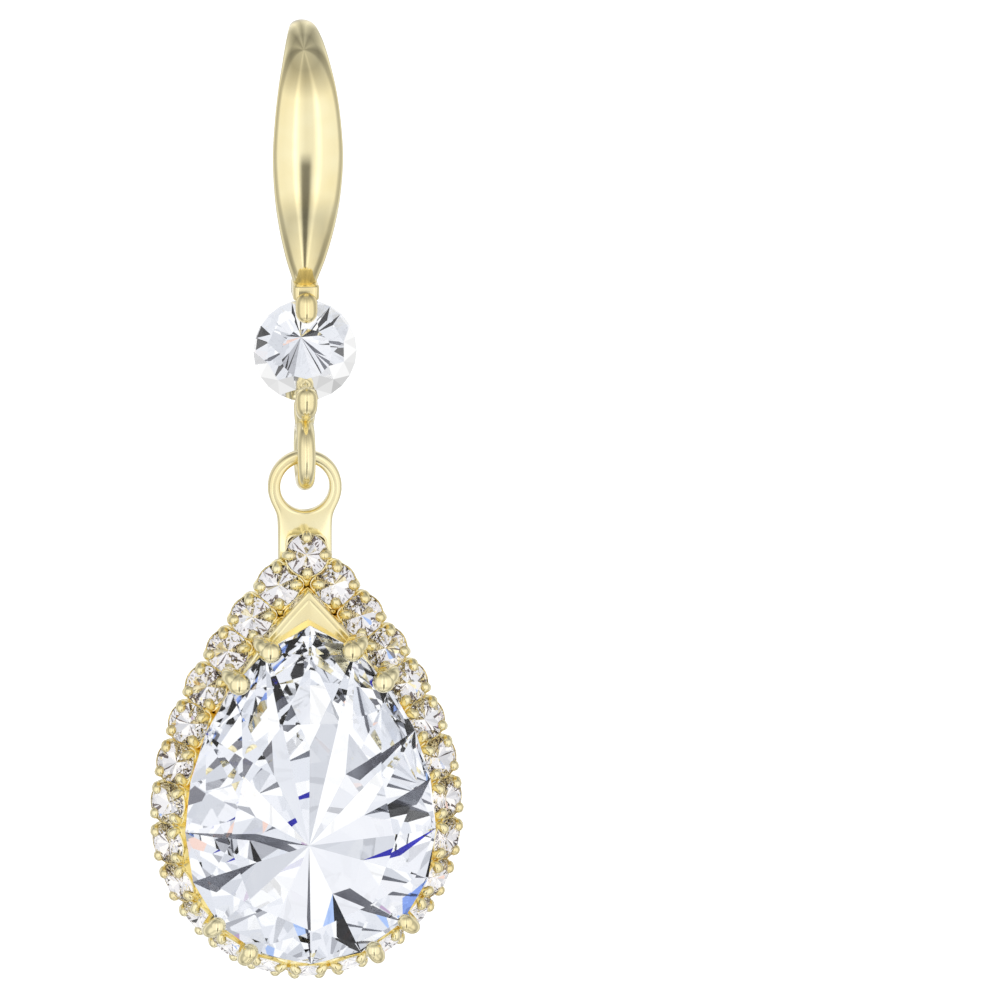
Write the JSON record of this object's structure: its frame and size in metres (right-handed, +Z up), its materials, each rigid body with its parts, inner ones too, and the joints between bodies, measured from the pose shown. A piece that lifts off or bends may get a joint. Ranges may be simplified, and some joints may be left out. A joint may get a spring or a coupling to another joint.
{
  "type": "teardrop earring",
  "caption": "Drop earring on a French hook with a leaf front, a round stone and a pear stone in a halo of small stones that swings from a ring.",
  "frame": {"origin": "underside of the hook's crest, where it sits in the ear hole", "axes": "+Z up, -Y towards the viewer who faces the wearer's ear, +X to that viewer's right"},
  "size_m": [0.0164, 0.0123, 0.0505],
  "materials": {
    "gold": "pale yellow gold plate, polished",
    "clear_stone": "clear cut stone, flat polished facets",
    "halo_stone": "small cut stones with a faint warm tint"
  },
  "bodies": {
    "hook": {"ear_hook": "gold", "round_stone": "clear_stone"},
    "drop": {"drop_frame": "gold", "pear_stone": "clear_stone", "halo_stone_01": "halo_stone", "halo_stone_02": "halo_stone", "halo_stone_03": "halo_stone", "halo_stone_04": "halo_stone", "halo_stone_05": "halo_stone", "halo_stone_06": "halo_stone", "halo_stone_07": "halo_stone", "halo_stone_08": "halo_stone", "halo_stone_09": "halo_stone", "halo_stone_10": "halo_stone", "halo_stone_11": "halo_stone", "halo_stone_12": "halo_stone", "halo_stone_13": "halo_stone", "halo_stone_14": "halo_stone", "halo_stone_15": "halo_stone", "halo_stone_16": "halo_stone", "halo_stone_17": "halo_stone", "halo_stone_18": "halo_stone", "halo_stone_19": "halo_stone", "halo_stone_20": "halo_stone", "halo_stone_21": "halo_stone", "halo_stone_22": "halo_stone", "halo_stone_23": "halo_stone", "halo_stone_24": "halo_stone", "halo_stone_25": "halo_stone", "halo_stone_26": "halo_stone"}
  },
  "joints": [
    {"name": "drop_swing", "type": "hinge", "parent": "hook", "child": "drop", "pos_m": [0, -0.0013, -0.02328], "axis": [0, 1, 0], "range_deg": [-60, 60]}
  ]
}
